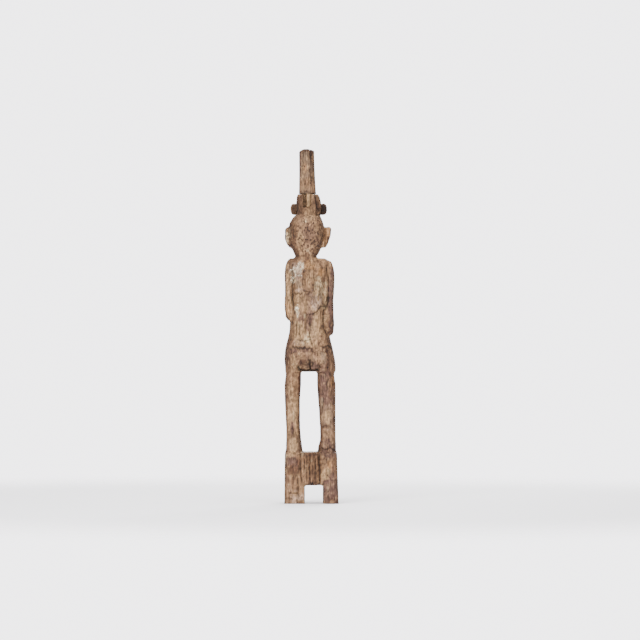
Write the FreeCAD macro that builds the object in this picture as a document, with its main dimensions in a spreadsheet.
"""Standing figure carved from one weathered hardwood log, with its loose fittings.

The figure faces +Y and its back faces -Y. +X is to the right for someone behind it, +Z is up.
Millimetres. The origin is on the ground, in the middle of the outline seen from above.

The log is one solid, as the carver left it: two foot posts with a slot between them, a block,
legs, trunk, arms, neck, head and a faceted collar on the crown. The other pieces are a post
tenoned into the collar, a brow band pegged round the front of the collar, and a lid nailed over
a hollow between the shoulder blades.
"""

import FreeCAD, Part

import os

import Sketcher
from FreeCAD import Placement, Rotation, Vector

doc = FreeCAD.newDocument("standing_figure")
sheet = doc.addObject("Spreadsheet::Sheet", "Sizes")

# ---------------------------------------------------------------- driving dimensions
# Lengths stacked from the ground up: each level is the sum of those below it.
SIZES = {
    "slot_height": 54,
    "block_height": 100,
    "leg_length": 238,
    "torso_length": 343,
    "neck_length": 12,
    "head_height": 121,
    "collar_height": 59,
    "post_length": 135,
    # base block, and the slot that parts it into two feet
    "block_width": 164,
    "block_depth": 124,
    "slot_width": 53,
    "slot_x": 7,
    # how far a cut runs on past the face it leaves by, and a tenon up into its shaft
    "overrun": 5,
    # how round the sections are: corner radius over the smaller side
    "base_round": 0.11,
    "leg_round": 0.38,
    "trunk_round": 0.45,
    "arm_round": 0.44,
    "post_round": 0.45,
    "collar_chamfer": 18,
    # ears, cut as plates
    "ear_thickness": 15,
    "ear_y": -7,
    "ear_rise": 18,
    "ear_tall": 64,
    # post tenon and its mortise
    "tenon_side": 29,
    "tenon_length": 66,
    "tenon_clearance": 0.4,
    "mortise_end_gap": 2,
    "post_x": -13,
    "post_y": 0,
    "split_width": 2,
    "split_depth": 34,
    "split_x": -3,
    # open back of the mortise, and the key on the tenon that stands in it
    "back_slot_width": 23,
    "back_slot_drop": 40,
    "back_slot_x": -14,
    "key_width": 11,
    "key_depth": 12,
    "key_clearance": 0.3,
    # brow band and its pegs
    "band_x": -8.5,
    "band_y": 0,
    "band_seat_radius": 34,
    "band_thick": 21,
    "band_height": 35,
    "band_corner": 8.5,
    "band_sweep": 212,
    "band_clearance": 0.3,
    "band_drop": 28,
    "band_end_gap": 3,
    "peg_radius": 4,
    "peg_wall": 4.2,
    "peg_angle": 42,
    "peg_clearance": 0.05,
    "peg_proud": 0.8,
    # lid in the back, its seat and the hollow behind it
    "lid_width": 30,
    "lid_height": 66,
    "lid_thick": 13,
    "lid_corner": 2,
    "lid_chamfer": 1.5,
    "lid_clearance": 0.4,
    "lid_x": -9,
    "lid_face": 49,
    "lid_rise": 242,
    "ledge": 6,
    "hollow_depth": 26,
    "nail_radius": 1.5,
    "nail_head_radius": 3,
    "nail_head_height": 1.2,
    "nail_length": 25,
    "nail_inset": 3.2,
    "nail_clearance": 0.05,
}

# Sections of each carved limb: rise is the share of the named length that the section lies at,
# x and y its centre, width and depth its size along X and Y.
LIMBS = {
    "base": [
        ("base_sole", "slot", 0.00, 0, 0, None, None),
        ("base_shoulder", "block", 0.25, -1, 0, 161, 123),
        ("base_top", "block", 1.00, -1.5, 0, 158, 118),
    ],
    "left_leg": [
        ("left_heel", "leg", -0.06, -51, -1, 53, 92),
        ("left_foot_top", "leg", 0.07, -52.5, -2, 50, 84),
        ("left_ankle", "leg", 0.15, -53.5, -5, 46, 76),
        ("left_calf", "leg", 0.30, -55, -9, 43, 78),
        ("left_shin", "leg", 0.50, -56.5, -5, 45, 80),
        ("left_knee", "leg", 0.66, -57.5, 2, 47, 84),
        ("left_thigh", "leg", 0.84, -56.5, 1, 51, 90),
        ("left_hip", "leg", 1.16, -51, -2, 42, 74),
    ],
    "right_leg": [
        ("right_heel", "leg", -0.06, 45, -1, 56, 92),
        ("right_foot_top", "leg", 0.07, 47, -2, 55, 84),
        ("right_ankle", "leg", 0.15, 49, -5, 48, 76),
        ("right_calf", "leg", 0.30, 49, -9, 48, 78),
        ("right_shin", "leg", 0.50, 47.5, -5, 51, 80),
        ("right_knee", "leg", 0.66, 46, 2, 54, 84),
        ("right_thigh", "leg", 0.84, 44.5, 1, 57, 90),
        ("right_hip", "leg", 1.16, 39, -2, 46, 74),
    ],
    "trunk": [
        ("pelvis", "torso", 0.00, -4.5, -2, 154, 97),
        ("hips", "torso", 0.12, -5.5, -3, 153, 102),
        ("flank", "torso", 0.22, -7.5, -2, 142, 99),
        ("waist", "torso", 0.32, -7.5, -1, 125, 93),
        ("belly", "torso", 0.44, -9, 1, 114, 94),
        ("ribs", "torso", 0.62, -10, 0, 112, 96),
        ("chest", "torso", 0.82, -9, 0, 122, 98),
        ("shoulders", "torso", 0.94, -8, -2, 138, 82),
        ("shoulder_top", "torso", 1.00, -12, -2, 104, 58),
    ],
    "left_arm": [
        ("left_elbow_tip", "torso", 0.452, -64, -10, 15, 26),
        ("left_elbow", "torso", 0.53, -69, -9, 23, 44),
        ("left_upper_arm", "torso", 0.72, -68, -10, 25, 48),
        ("left_deltoid", "torso", 0.90, -68, -8, 25, 50),
        ("left_shoulder", "torso", 0.975, -63, -6, 20, 36),
    ],
    "right_arm": [
        ("right_elbow_tip", "torso", 0.325, 58.5, -10, 12, 22),
        ("right_elbow", "torso", 0.43, 55.5, -9, 25, 42),
        ("right_upper_arm", "torso", 0.69, 54, -10, 28, 48),
        ("right_deltoid", "torso", 0.90, 54, -8, 28, 50),
        ("right_shoulder", "torso", 0.975, 47, -6, 24, 36),
    ],
    "head": [
        ("neck_root", "neck", -1.80, -14, -3, 80, 64),
        ("neck", "neck", 0.75, -16, -4, 71, 64),
        ("jaw", "head", 0.13, -15.5, 1, 89, 86),
        ("cheeks", "head", 0.36, -15.5, -1, 105, 97),
        ("temples", "head", 0.59, -15, -2, 110, 101),
        ("brow", "head", 0.76, -15, -3, 103, 96),
        ("dome", "head", 0.90, -13.5, -2, 86, 80),
        ("crown", "head", 1.00, -11, -1, 62, 60),
    ],
}

# Faceted collar: the same values for its eight-sided sections.
COLLAR = [
    ("collar_root", "collar", -0.10, -9, 0, 70, 66),
    ("collar_flare", "collar", 0.28, -7.5, 0, 77, 70),
    ("collar_body", "collar", 0.62, -9, 0, 74, 69),
    ("collar_rim", "collar", 0.84, -10, 0, 71, 67),
    ("collar_lip", "collar", 1.00, -11, 0, 62, 62),
]

POST = [
    ("post_foot", "post", 0.00, -12, 0, 52, 50),
    ("post_middle", "post", 0.45, -13.5, 0, 48, 47),
    ("post_top", "post", 1.00, -14.5, 0, 46, 44),
]

# Forearms lie round the belly: each section stands across the limb, turned by heading.
FOREARMS = {
    "left_forearm": [
        ("left_bend", 0.520, -66, -8, 22, 36, 180),
        ("left_forearm_middle", 0.555, -60, 27, 22, 32, 150),
        ("left_wrist", 0.585, -37, 45, 19, 26, 112),
        ("left_palm", 0.600, -16, 49, 18, 34, 95),
        ("left_fingers", 0.605, -1, 50, 13, 28, 88),
    ],
    "right_forearm": [
        ("right_bend", 0.420, 54, -8, 24, 36, 180),
        ("right_forearm_middle", 0.450, 47, 26, 23, 32, 212),
        ("right_wrist", 0.475, 21, 43, 19, 26, 250),
        ("right_palm", 0.490, 0, 48, 18, 34, 266),
        ("right_fingers", 0.500, -16, 49, 13, 28, 272),
    ],
}

# Rounded forms that swell from the limbs: level, share, centre x and y, half sizes x, y, z.
SWELLS = {
    "left_buttock": ("torso", 0.115, -37, -38, 31, 20, 39),
    "right_buttock": ("torso", 0.115, 25, -38, 31, 20, 39),
    "left_kneecap": ("leg", 0.640, -56, 35, 17, 13, 22),
    "right_kneecap": ("leg", 0.640, 47, 35, 18, 13, 22),
    "left_foot": ("leg", 0.010, -54, 24, 20, 27, 18),
    "right_foot": ("leg", 0.010, 48, 24, 20, 27, 18),
    "brow_ridge": ("head", 0.665, -15, 39, 35, 10, 7),
    "left_eye": ("head", 0.545, -33, 40, 11, 7.5, 6),
    "right_eye": ("head", 0.545, 3, 40, 11, 7.5, 6),
    "left_cheek": ("head", 0.360, -36, 32, 16, 12, 15),
    "right_cheek": ("head", 0.360, 6, 32, 16, 12, 15),
    "upper_lip": ("head", 0.262, -15, 38, 17, 10, 4),
    "lower_lip": ("head", 0.208, -15, 37, 14, 10, 4),
    "chin": ("head", 0.070, -15, 33, 18, 12, 11),
}

NOSE = [
    ("nose_bridge", "head", 0.640, -15, 41, 9, 10),
    ("nose_back", "head", 0.500, -15, 44, 12, 16),
    ("nose_tip", "head", 0.375, -15, 48, 22, 23),
    ("nose_wing", "head", 0.320, -15, 43, 21, 16),
]

# Ear outlines seen from behind: (x, share of the ear's height), the first point top inside.
EARS = {
    "left_ear": [
        (-55, 0.97), (-75, 0.98), (-80.5, 0.86), (-80.5, 0.40), (-75, 0.16), (-66, 0.0), (-52, 0.02),
    ],
    "right_ear": [
        (26, 0.93), (54, 1.02), (60.5, 0.93), (59, 0.60), (51, 0.20), (43, 0.0), (22, 0.0),
    ],
}

# Corners of the lid that have a nail: side along X, end along Z.
NAILS = {
    "lid_nail_top_left": (-1, 1),
    "lid_nail_bottom_left": (-1, -1),
    "lid_nail_bottom_right": (1, -1),
}

# How far round from the front each peg of the band stands, to the left or to the right.
PEGS = {"band_peg_left": "(180 + Sizes.peg_angle)", "band_peg_right": "(180 - Sizes.peg_angle)"}

GROUND = "0"
SLOT_TOP = "Sizes.slot_height"
BLOCK_TOP = SLOT_TOP + " + Sizes.block_height"
CROTCH = BLOCK_TOP + " + Sizes.leg_length"
SHOULDER = CROTCH + " + Sizes.torso_length"
NAPE = SHOULDER + " + Sizes.neck_length"
CROWN = NAPE + " + Sizes.head_height"
COLLAR_TOP = CROWN + " + Sizes.collar_height"

# The level a named length starts from, and the alias of that length.
STARTS = {
    "slot": (GROUND, "slot_height"),
    "block": (SLOT_TOP, "block_height"),
    "leg": (BLOCK_TOP, "leg_length"),
    "torso": (CROTCH, "torso_length"),
    "neck": (SHOULDER, "neck_length"),
    "head": (NAPE, "head_height"),
    "collar": (CROWN, "collar_height"),
    "post": (COLLAR_TOP, "post_length"),
}

BAND_REACH = "(Sizes.band_seat_radius + Sizes.band_clearance + Sizes.band_thick)"
# A peg ends short of the mortise's corner by a wall of wood.
PEG_ROOT = "(Sizes.tenon_side * sqrt(2) / 2 + Sizes.tenon_clearance + Sizes.peg_wall)"
BAND_LEVEL = f"({COLLAR_TOP} - Sizes.band_drop - Sizes.band_height / 2)"
LID_LEVEL = f"({CROTCH} + Sizes.lid_rise)"
MORTISE_SIDE = "(Sizes.tenon_side + 2 * Sizes.tenon_clearance)"


# ---------------------------------------------------------------- sheet
def fill_sheet():
    """Writes every driving value into a row of its own, with its alias."""
    rows = dict(SIZES)
    for group in [*LIMBS.values(), COLLAR, POST, NOSE]:
        for name, _, rise, x, y, width, depth in group:
            values = {"rise": rise, "x": x, "y": y, "width": width, "depth": depth}
            rows.update({f"{name}_{k}": v for k, v in values.items() if v is not None})
    for group in FOREARMS.values():
        for name, rise, x, y, width, depth, heading in group:
            values = {"rise": rise, "x": x, "y": y, "width": width, "depth": depth, "heading": heading}
            rows.update({f"{name}_{k}": v for k, v in values.items()})
    for name, (_, rise, x, y, across, deep, tall) in SWELLS.items():
        values = {"rise": rise, "x": x, "y": y, "across": across, "deep": deep, "tall": tall}
        rows.update({f"{name}_{k}": v for k, v in values.items()})
    for name, outline in EARS.items():
        for i, (x, share) in enumerate(outline):
            rows.update({f"{name}_x_{i}": x, f"{name}_rise_{i}": share})
    for row, (alias, value) in enumerate(rows.items(), start=1):
        sheet.set(f"A{row}", alias)
        sheet.set(f"B{row}", str(value))
        sheet.setAlias(f"B{row}", alias)
    doc.recompute()


def height_of(start, name):
    """Expression for the level of a section: its share of the length it belongs to."""
    base, length = STARTS[start]
    return f"{base} + Sizes.{name}_rise * Sizes.{length}"


# ---------------------------------------------------------------- sketches
def plane(body, role):
    return next(f for f in body.Origin.OriginFeatures if f.Role == role)


def new_sketch(body, name, role="XY_Plane", rotation=None):
    sketch = body.newObject("Sketcher::SketchObject", name)
    sketch.AttachmentSupport = [(plane(body, role), "")]
    sketch.MapMode = "FlatFace"
    if rotation is not None:
        sketch.AttachmentOffset = Placement(Vector(), rotation)
    return sketch


def place(feature, x, y, z, prop="AttachmentOffset"):
    """Binds where a feature lies to expressions."""
    for axis, value in zip("xyz", (x, y, z)):
        feature.setExpression(f"{prop}.Base.{axis}", value)


def rounded_outline(sketch, width, depth, corner):
    """A rounded rectangle about the sketch's origin, its three sizes bound to expressions."""
    half_w, half_d, bend = 30.0, 20.0, 8.0
    corners = [(1, 1, 0), (-1, 1, 90), (-1, -1, 180), (1, -1, 270)]
    arcs = []
    for sx, sy, start in corners:
        circle = Part.Circle(Vector(sx * (half_w - bend), sy * (half_d - bend)), Vector(0, 0, 1), bend)
        turn = FreeCAD.Units.Quantity(f"{start} deg").getValueAs("rad").Value
        quarter = FreeCAD.Units.Quantity("90 deg").getValueAs("rad").Value
        arcs.append(sketch.addGeometry(Part.ArcOfCircle(circle, turn, turn + quarter)))
    ends = [
        (Vector(half_w - bend, half_d), Vector(bend - half_w, half_d)),
        (Vector(-half_w, half_d - bend), Vector(-half_w, bend - half_d)),
        (Vector(bend - half_w, -half_d), Vector(half_w - bend, -half_d)),
        (Vector(half_w, bend - half_d), Vector(half_w, half_d - bend)),
    ]
    sides = [sketch.addGeometry(Part.LineSegment(a, b)) for a, b in ends]
    for i in range(4):
        sketch.addConstraint(Sketcher.Constraint("Tangent", arcs[i], 2, sides[i], 1))
        sketch.addConstraint(Sketcher.Constraint("Tangent", sides[i], 2, arcs[(i + 1) % 4], 1))
    for side, kind in zip(sides, ("Horizontal", "Vertical", "Horizontal", "Vertical")):
        sketch.addConstraint(Sketcher.Constraint(kind, side))
    for arc in arcs[1:]:
        sketch.addConstraint(Sketcher.Constraint("Equal", arcs[0], arc))
    sketch.addConstraint(Sketcher.Constraint("Symmetric", arcs[0], 3, arcs[2], 3, -1, 1))
    bound = {
        "width": (Sketcher.Constraint("DistanceX", sides[1], 1, sides[3], 1, 2 * half_w), width),
        "depth": (Sketcher.Constraint("DistanceY", sides[2], 1, sides[0], 1, 2 * half_d), depth),
        "corner": (Sketcher.Constraint("Radius", arcs[0], bend), corner),
    }
    bind_constraints(sketch, bound)


def bind_constraints(sketch, bound):
    for name, (constraint, expression) in bound.items():
        index = sketch.addConstraint(constraint)
        sketch.renameConstraint(index, name)
        sketch.setExpression(f"Constraints.{name}", expression)


def faceted_outline(sketch, width, depth, chamfer):
    """An eight-sided outline about the sketch's origin: a rectangle with its corners cut off."""
    half_w, half_d, cut = 30.0, 25.0, 10.0
    points = [
        Vector(half_w, half_d - cut), Vector(half_w - cut, half_d),
        Vector(cut - half_w, half_d), Vector(-half_w, half_d - cut),
        Vector(-half_w, cut - half_d), Vector(cut - half_w, -half_d),
        Vector(half_w - cut, -half_d), Vector(half_w, cut - half_d),
    ]
    count = len(points)
    sides = [sketch.addGeometry(Part.LineSegment(points[i], points[(i + 1) % count])) for i in range(count)]
    for i in range(count):
        sketch.addConstraint(Sketcher.Constraint("Coincident", sides[i], 2, sides[(i + 1) % count], 1))
    sketch.addConstraint(Sketcher.Constraint("Horizontal", sides[1]))
    sketch.addConstraint(Sketcher.Constraint("Vertical", sides[7]))
    for a, b in ((1, 5), (7, 3)):
        sketch.addConstraint(Sketcher.Constraint("Symmetric", sides[a], 1, sides[b], 1, -1, 1))
        sketch.addConstraint(Sketcher.Constraint("Symmetric", sides[a], 2, sides[b], 2, -1, 1))
    bound = {
        "width": (Sketcher.Constraint("DistanceX", sides[3], 1, sides[7], 2, 2 * half_w), width),
        "depth": (Sketcher.Constraint("DistanceY", sides[5], 1, sides[1], 2, 2 * half_d), depth),
        "cut_x": (Sketcher.Constraint("DistanceX", sides[0], 2, sides[0], 1, cut), chamfer),
        "cut_y": (Sketcher.Constraint("DistanceY", sides[0], 1, sides[0], 2, cut), chamfer),
        "cut_across": (Sketcher.Constraint("DistanceX", sides[2], 2, sides[2], 1, cut), chamfer),
        "cut_up": (Sketcher.Constraint("DistanceY", sides[2], 2, sides[2], 1, cut), chamfer),
    }
    bind_constraints(sketch, bound)


def polygon_outline(sketch, points):
    count = len(points)
    sides = [sketch.addGeometry(Part.LineSegment(points[i], points[(i + 1) % count])) for i in range(count)]
    for i in range(count):
        sketch.addConstraint(Sketcher.Constraint("Coincident", sides[i], 2, sides[(i + 1) % count], 1))
    return sides


# ---------------------------------------------------------------- features
def additive(body, kind, name):
    feature = body.newObject(f"PartDesign::{kind}", name)
    feature.Refine = False  # the carved faces have no seams to merge
    return feature


def loft(body, name, sketches):
    feature = additive(body, "AdditiveLoft", name)
    feature.Profile = sketches[0]
    feature.Sections = sketches[1:]
    for sketch in sketches:
        sketch.Visibility = False
    return feature


def limb(body, name, group, roundness):
    """A carved limb: rounded sections lofted from the lowest up."""
    sketches = []
    for station, start, _, _, _, width, depth in group:
        sketch = new_sketch(body, station)
        wide = "Sizes.block_width" if width is None else f"Sizes.{station}_width"
        deep = "Sizes.block_depth" if depth is None else f"Sizes.{station}_depth"
        rounded_outline(sketch, wide, deep, f"min({wide}; {deep}) * Sizes.{roundness}")
        place(sketch, f"Sizes.{station}_x", f"Sizes.{station}_y", height_of(start, station))
        sketches.append(sketch)
    return loft(body, name, sketches)


def forearm(body, name, group):
    """A forearm and hand: upright sections along a bent line round the belly."""
    upright = Rotation(Vector(1, 0, 0), 90)
    sketches = []
    for station, _, _, _, _, _, heading in group:
        sketch = new_sketch(body, station, rotation=Rotation(Vector(0, 0, 1), heading) * upright)
        wide, tall = f"Sizes.{station}_width", f"Sizes.{station}_depth"
        rounded_outline(sketch, wide, tall, f"min({wide}; {tall}) * Sizes.arm_round")
        place(sketch, f"Sizes.{station}_x", f"Sizes.{station}_y", height_of("torso", station))
        sketches.append(sketch)
    return loft(body, name, sketches)


def swell(name, start):
    """A rounded form: an ellipsoid half sunk in the limb it swells from."""
    form = doc.addObject("Part::Ellipsoid", name)
    form.setExpression("Radius1", f"Sizes.{name}_tall")
    form.setExpression("Radius2", f"Sizes.{name}_across")
    form.setExpression("Radius3", f"Sizes.{name}_deep")
    place(form, f"Sizes.{name}_x", f"Sizes.{name}_y", height_of(start, name), "Placement")
    return form


def block(body, kind, name, size, corner):
    """A box feature whose three sizes and lowest corner are bound to expressions."""
    feature = additive(body, kind, name)
    feature.AttachmentSupport = [(plane(body, "XY_Plane"), "")]
    feature.MapMode = "FlatFace"
    for prop, value in zip(("Length", "Width", "Height"), size):
        feature.setExpression(prop, value)
    place(feature, *corner)
    return feature


def ear(body, name, outline):
    """An ear plate, cut to its outline and as thick as the sheet says."""
    sketch = new_sketch(body, f"{name}_outline", "XZ_Plane")
    tall = SIZES["ear_tall"]
    points = [Vector(x, share * tall) for x, share in outline]
    sides = polygon_outline(sketch, points)
    for i, (x, share) in enumerate(outline):
        across = Sketcher.Constraint("DistanceX", -1, 1, sides[i], 1, x)
        up = Sketcher.Constraint("DistanceY", -1, 1, sides[i], 1, share * tall)
        bound = {
            f"across{i}": (across, f"Sizes.{name}_x_{i}"),
            f"up{i}": (up, f"Sizes.{name}_rise_{i} * Sizes.ear_tall"),
        }
        bind_constraints(sketch, bound)
    place(sketch, "0", f"{NAPE} + Sizes.ear_rise", "-Sizes.ear_y")
    pad = additive(body, "Pad", name)
    pad.Profile = sketch
    pad.Midplane = True
    pad.setExpression("Length", "Sizes.ear_thickness")
    sketch.Visibility = False
    return pad


# ---------------------------------------------------------------- the log
def carve_limbs(body):
    for name in ("base", "left_leg", "right_leg"):
        limb(body, name, LIMBS[name], f"{name.split('_')[-1]}_round").Ruled = True
    limb(body, "trunk", LIMBS["trunk"], "trunk_round")
    limb(body, "head", LIMBS["head"], "trunk_round")
    limb(body, "left_arm", LIMBS["left_arm"], "arm_round")
    limb(body, "right_arm", LIMBS["right_arm"], "arm_round")
    for name, group in FOREARMS.items():
        forearm(body, name, group)


def carve_collar(body):
    sketches = []
    for station, start, *_ in COLLAR:
        sketch = new_sketch(body, station)
        faceted_outline(sketch, f"Sizes.{station}_width", f"Sizes.{station}_depth", "Sizes.collar_chamfer")
        place(sketch, f"Sizes.{station}_x", f"Sizes.{station}_y", height_of(start, station))
        sketches.append(sketch)
    loft(body, "collar", sketches).Ruled = True


def cut_foot_slot(body):
    """Slot through the base from back to front, which leaves the two feet."""
    block(
        body, "SubtractiveBox", "foot_slot",
        ("Sizes.slot_width", "2 * Sizes.block_depth", "Sizes.slot_height + Sizes.overrun"),
        ("Sizes.slot_x - Sizes.slot_width / 2", "-Sizes.block_depth", "-Sizes.overrun"),
    )


def cut_post_seat(body):
    """Mortise down into the crown, and the slot that opens it to the back."""
    deep = "(Sizes.tenon_length + Sizes.mortise_end_gap)"
    block(
        body, "SubtractiveBox", "mortise",
        (MORTISE_SIDE, MORTISE_SIDE, f"{deep} + Sizes.overrun"),
        (
            f"Sizes.post_x - {MORTISE_SIDE} / 2",
            f"Sizes.post_y - {MORTISE_SIDE} / 2",
            f"{COLLAR_TOP} - {deep}",
        ),
    )
    block(
        body, "SubtractiveBox", "back_slot",
        ("Sizes.back_slot_width", "Sizes.block_depth / 2", "Sizes.back_slot_drop + Sizes.overrun"),
        (
            "Sizes.back_slot_x - Sizes.back_slot_width / 2",
            "Sizes.post_y - Sizes.block_depth / 2",
            f"{COLLAR_TOP} - Sizes.back_slot_drop",
        ),
    )


def cut_band_seat(body):
    """A round channel across the front and sides of the collar for the brow band."""
    sketch = new_sketch(body, "band_channel_outline", "XZ_Plane", Rotation(Vector(0, 1, 0), 90))
    sides = polygon_outline(sketch, [Vector(30, -10), Vector(90, -10), Vector(90, 10), Vector(30, 10)])
    for side, kind in zip(sides, ("Horizontal", "Vertical", "Horizontal", "Vertical")):
        sketch.addConstraint(Sketcher.Constraint(kind, side))
    tall = "(Sizes.band_height + 2 * Sizes.band_clearance)"
    bound = {
        "inner": (Sketcher.Constraint("DistanceX", -1, 1, sides[0], 1, 30), "Sizes.band_seat_radius"),
        "outer": (Sketcher.Constraint("DistanceX", -1, 1, sides[0], 2, 90), "Sizes.block_width / 2"),
        "above": (Sketcher.Constraint("DistanceY", -1, 1, sides[2], 1, 10), f"{tall} / 2"),
        "tall": (Sketcher.Constraint("DistanceY", sides[0], 2, sides[2], 1, 20), tall),
    }
    bind_constraints(sketch, bound)
    place(sketch, "Sizes.band_x", BAND_LEVEL, "-Sizes.band_y")
    groove = additive(body, "Groove", "band_channel")
    groove.Profile = sketch
    groove.ReferenceAxis = (sketch, ["V_Axis"])
    groove.Midplane = True
    groove.setExpression("Angle", "Sizes.band_sweep + 2 * Sizes.band_end_gap")
    sketch.Visibility = False
    for name, turn in PEGS.items():
        peg_hole(body, f"{name}_hole", turn)


def peg_hole(body, name, turn):
    """A level hole for a peg: on a line through the band's centre, turned about the vertical."""
    hole = additive(body, "SubtractiveCylinder", name)
    hole.AttachmentSupport = [(plane(body, "XZ_Plane"), "")]
    hole.MapMode = "FlatFace"
    hole.AttachmentOffset = Placement(Vector(), Rotation(Vector(0, 1, 0), 1))
    hole.setExpression("AttachmentOffset.Rotation.Angle", turn)
    root = f"({PEG_ROOT} - Sizes.peg_clearance)"
    place(
        hole,
        f"Sizes.band_x + {root} * sin({turn})",
        BAND_LEVEL,
        f"-Sizes.band_y + {root} * cos({turn})",
    )
    hole.setExpression("Radius", "Sizes.peg_radius + Sizes.peg_clearance")
    hole.setExpression("Height", "Sizes.block_width / 2")
    return hole


def cut_lid_seat(body):
    """Seat for the lid, the smaller hollow behind its ledge, and the holes for the nails."""
    wide = "(Sizes.lid_width + 2 * Sizes.lid_clearance)"
    tall = "(Sizes.lid_height + 2 * Sizes.lid_clearance)"
    seat = "(Sizes.block_depth / 2 - Sizes.lid_face + Sizes.lid_thick)"
    outside = "-Sizes.block_depth / 2"
    block(
        body, "SubtractiveBox", "lid_seat",
        (wide, seat, tall),
        (f"Sizes.lid_x - {wide} / 2", outside, f"{LID_LEVEL} - Sizes.lid_clearance"),
    )
    block(
        body, "SubtractiveBox", "hollow",
        (f"{wide} - 2 * Sizes.ledge", f"{seat} + Sizes.hollow_depth", f"{tall} - 2 * Sizes.ledge"),
        (
            f"Sizes.lid_x - {wide} / 2 + Sizes.ledge",
            outside,
            f"{LID_LEVEL} - Sizes.lid_clearance + Sizes.ledge",
        ),
    )
    for name, corner in NAILS.items():
        nail_hole(body, f"{name}_hole", corner)


def nail_centre(corner):
    """Expressions for where a nail stands: in from its own corner of the lid."""
    side, end = corner
    return (
        f"(Sizes.lid_x + {side} * (Sizes.lid_width / 2 - Sizes.nail_inset))",
        f"({LID_LEVEL} + Sizes.lid_height / 2 + {end} * (Sizes.lid_height / 2 - Sizes.nail_inset))",
    )


def nail_hole(body, name, corner):
    """A nail's hole, from the lid's face inwards."""
    hole = additive(body, "SubtractiveCylinder", name)
    hole.AttachmentSupport = [(plane(body, "XZ_Plane"), "")]
    hole.MapMode = "FlatFace"
    hole.setExpression("Radius", "Sizes.nail_radius + Sizes.nail_clearance")
    hole.setExpression("Height", "Sizes.nail_length + Sizes.nail_clearance")
    x, z = nail_centre(corner)
    place(hole, x, z, "Sizes.lid_face - Sizes.nail_length - Sizes.nail_clearance")
    return hole


def make_log():
    """The log: lofted limbs and straight cuts in one body, fused with the rounded swells."""
    body = doc.addObject("PartDesign::Body", "carved_limbs")
    carve_limbs(body)
    carve_collar(body)
    for name, outline in EARS.items():
        ear(body, name, outline)
    limb(body, "nose", NOSE[::-1], "arm_round")
    cut_foot_slot(body)
    cut_post_seat(body)
    cut_band_seat(body)
    cut_lid_seat(body)
    log = doc.addObject("Part::MultiFuse", "figure_log")
    log.Shapes = [body, *(swell(name, start) for name, (start, *_) in SWELLS.items())]
    log.Refine = False
    return log


# ---------------------------------------------------------------- fittings
def make_post():
    """The post: a tapering shaft with a square, keyed tenon below and a crack down from its top."""
    body = doc.addObject("PartDesign::Body", "crown_post")
    limb(body, "shaft", POST, "post_round")
    block(
        body, "AdditiveBox", "tenon",
        ("Sizes.tenon_side", "Sizes.tenon_side", "Sizes.tenon_length + Sizes.overrun"),
        (
            "Sizes.post_x - Sizes.tenon_side / 2",
            "Sizes.post_y - Sizes.tenon_side / 2",
            f"{COLLAR_TOP} - Sizes.tenon_length",
        ),
    )
    block(
        body, "AdditiveBox", "key",
        ("Sizes.key_width", "Sizes.key_depth", "Sizes.back_slot_drop - Sizes.key_clearance"),
        (
            "Sizes.back_slot_x + Sizes.back_slot_width / 2 - Sizes.key_clearance - Sizes.key_width",
            "Sizes.post_y - Sizes.tenon_side / 2 - Sizes.key_depth",
            f"{COLLAR_TOP} - Sizes.back_slot_drop + Sizes.key_clearance",
        ),
    )
    block(
        body, "SubtractiveBox", "split",
        ("Sizes.split_width", "Sizes.block_depth / 2", "Sizes.split_depth + Sizes.overrun"),
        (
            "Sizes.split_x",
            "Sizes.post_y - Sizes.block_depth / 2",
            f"{COLLAR_TOP} + Sizes.post_length - Sizes.split_depth",
        ),
    )
    return body


def make_band():
    """The brow band: a thick rounded strip bent round the front of the collar."""
    body = doc.addObject("PartDesign::Body", "brow_band")
    sketch = new_sketch(body, "band_outline", "XZ_Plane", Rotation(Vector(0, 1, 0), 90))
    rounded_band_profile(sketch)
    place(sketch, "Sizes.band_x", BAND_LEVEL, "-Sizes.band_y")
    ring = additive(body, "Revolution", "band_ring")
    ring.Profile = sketch
    ring.ReferenceAxis = (sketch, ["V_Axis"])
    ring.Midplane = True
    ring.setExpression("Angle", "Sizes.band_sweep")
    sketch.Visibility = False
    for name, turn in PEGS.items():
        peg_hole(body, f"{name}_hole", turn)
    return body


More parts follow.
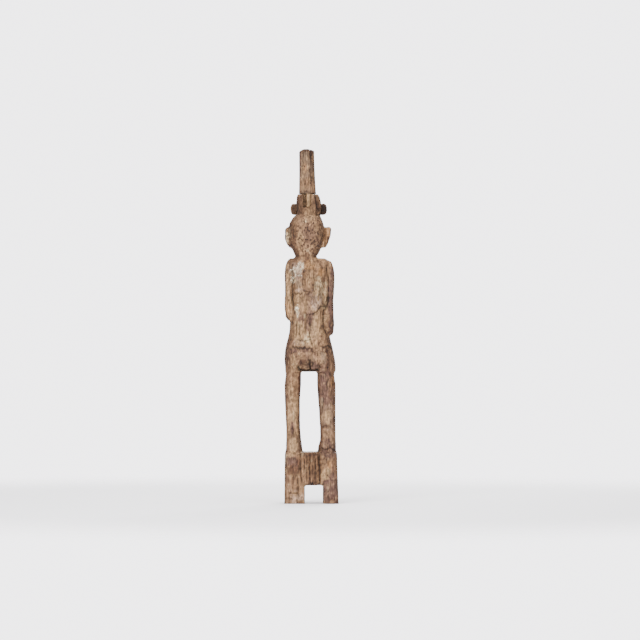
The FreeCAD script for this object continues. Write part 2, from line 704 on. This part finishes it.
def rounded_band_profile(sketch):
    """The band's cross-section, standing off the band's axis by its inner radius."""
    thick, tall, bend = (float(SIZES[name]) for name in ("band_thick", "band_height", "band_corner"))
    left = SIZES["band_seat_radius"] + SIZES["band_clearance"]
    right, top = left + thick, tall / 2
    quarter = FreeCAD.Units.Quantity("90 deg").getValueAs("rad").Value
    centres = [
        Vector(right - bend, top - bend),
        Vector(left + bend, top - bend),
        Vector(left + bend, bend - top),
        Vector(right - bend, bend - top),
    ]
    arcs = []
    for i, centre in enumerate(centres):
        circle = Part.Circle(centre, Vector(0, 0, 1), bend)
        arcs.append(sketch.addGeometry(Part.ArcOfCircle(circle, i * quarter, (i + 1) * quarter)))
    ends = [
        (Vector(right - bend, top), Vector(left + bend, top)),
        (Vector(left, top - bend), Vector(left, bend - top)),
        (Vector(left + bend, -top), Vector(right - bend, -top)),
        (Vector(right, bend - top), Vector(right, top - bend)),
    ]
    sides = [sketch.addGeometry(Part.LineSegment(a, b)) for a, b in ends]
    for i in range(4):
        sketch.addConstraint(Sketcher.Constraint("Tangent", arcs[i], 2, sides[i], 1))
        sketch.addConstraint(Sketcher.Constraint("Tangent", sides[i], 2, arcs[(i + 1) % 4], 1))
    for side, kind in zip(sides, ("Horizontal", "Vertical", "Horizontal", "Vertical")):
        sketch.addConstraint(Sketcher.Constraint(kind, side))
    for arc in arcs[1:]:
        sketch.addConstraint(Sketcher.Constraint("Equal", arcs[0], arc))
    bound = {
        "inner": (
            Sketcher.Constraint("DistanceX", -1, 1, sides[1], 1, left),
            "Sizes.band_seat_radius + Sizes.band_clearance",
        ),
        "thick": (Sketcher.Constraint("DistanceX", sides[1], 1, sides[3], 1, thick), "Sizes.band_thick"),
        "above": (Sketcher.Constraint("DistanceY", -1, 1, sides[0], 1, top), "Sizes.band_height / 2"),
        "tall": (Sketcher.Constraint("DistanceY", sides[2], 1, sides[0], 1, tall), "Sizes.band_height"),
        "corner": (Sketcher.Constraint("Radius", arcs[0], bend), "Sizes.band_corner"),
    }
    bind_constraints(sketch, bound)


def make_peg(name, turn):
    """A treenail through the band into the collar."""
    body = doc.addObject("PartDesign::Body", name)
    peg = additive(body, "AdditiveCylinder", f"{name}_shank")
    peg.AttachmentSupport = [(plane(body, "XZ_Plane"), "")]
    peg.MapMode = "FlatFace"
    peg.setExpression("Radius", "Sizes.peg_radius")
    peg.setExpression("Height", f"{BAND_REACH} + Sizes.peg_proud - {PEG_ROOT}")
    place(peg, "0", "0", PEG_ROOT)
    body.Placement = Placement(Vector(), Rotation(Vector(0, 0, 1), 1))
    body.setExpression("Placement.Rotation.Angle", turn)
    place(body, "Sizes.band_x", "Sizes.band_y", BAND_LEVEL, "Placement")
    return body


def make_lid():
    """The lid: a plug with an eased inner edge that seats on the ledge of the hollow."""
    body = doc.addObject("PartDesign::Body", "back_lid")
    sketch = new_sketch(body, "lid_outline", "XZ_Plane")
    rounded_outline(sketch, "Sizes.lid_width", "Sizes.lid_height", "Sizes.lid_corner")
    place(sketch, "Sizes.lid_x", f"{LID_LEVEL} + Sizes.lid_height / 2", "Sizes.lid_face - Sizes.lid_thick")
    pad = additive(body, "Pad", "lid")
    pad.Profile = sketch
    pad.setExpression("Length", "Sizes.lid_thick")
    sketch.Visibility = False
    doc.recompute()
    inner = max(pad.Shape.Faces, key=lambda face: face.CenterOfMass.y)
    names = [
        f"Edge{i}" for i, edge in enumerate(pad.Shape.Edges, start=1)
        if any(edge.isSame(other) for other in inner.Edges)
    ]
    ease = additive(body, "Chamfer", "eased_edge")
    ease.Base = (pad, names)
    ease.setExpression("Size", "Sizes.lid_chamfer")
    for name, corner in NAILS.items():
        nail_hole(body, f"{name}_lid_hole", corner)
    return body


def make_nail(name, corner):
    """A hand-cut nail: a round shank under a low round head that stands on the lid's face."""
    body = doc.addObject("PartDesign::Body", name)
    x, z = nail_centre(corner)
    sizes = {
        "shank": ("nail_radius", "Sizes.nail_length", "Sizes.lid_face - Sizes.nail_length"),
        "head": ("nail_head_radius", "Sizes.nail_head_height", "Sizes.lid_face"),
    }
    for part, (radius, length, start) in sizes.items():
        piece = additive(body, "AdditiveCylinder", f"{name}_{part}")
        piece.AttachmentSupport = [(plane(body, "XZ_Plane"), "")]
        piece.MapMode = "FlatFace"
        piece.setExpression("Radius", f"Sizes.{radius}")
        piece.setExpression("Height", length)
        place(piece, x, z, start)
    return body


# ---------------------------------------------------------------- build, check and write
def check(bodies):
    failed = [o.Label for o in doc.Objects if "Invalid" in o.State or "Error" in o.State]
    if failed:
        raise RuntimeError(f"these objects failed: {', '.join(failed)}")
    for body in bodies:
        if body.Shape.isNull() or not body.Shape.isValid() or len(body.Shape.Solids) != 1:
            raise RuntimeError(f"{body.Label} is not one valid solid")


def write(bodies):
    os.makedirs("parts", exist_ok=True)
    for body in bodies:
        body.Shape.exportStep(os.path.join("parts", f"{body.Label}.step"))
        print(f"{body.Label}: {len(body.Shape.Solids)} solid, {body.Shape.Volume / 1000:.1f} cm3")


fill_sheet()
pieces = [make_log(), make_post(), make_band(), make_lid()]
pieces += [make_peg(name, turn) for name, turn in PEGS.items()]
pieces += [make_nail(name, corner) for name, corner in NAILS.items()]
doc.recompute()
check(pieces)
write(pieces)
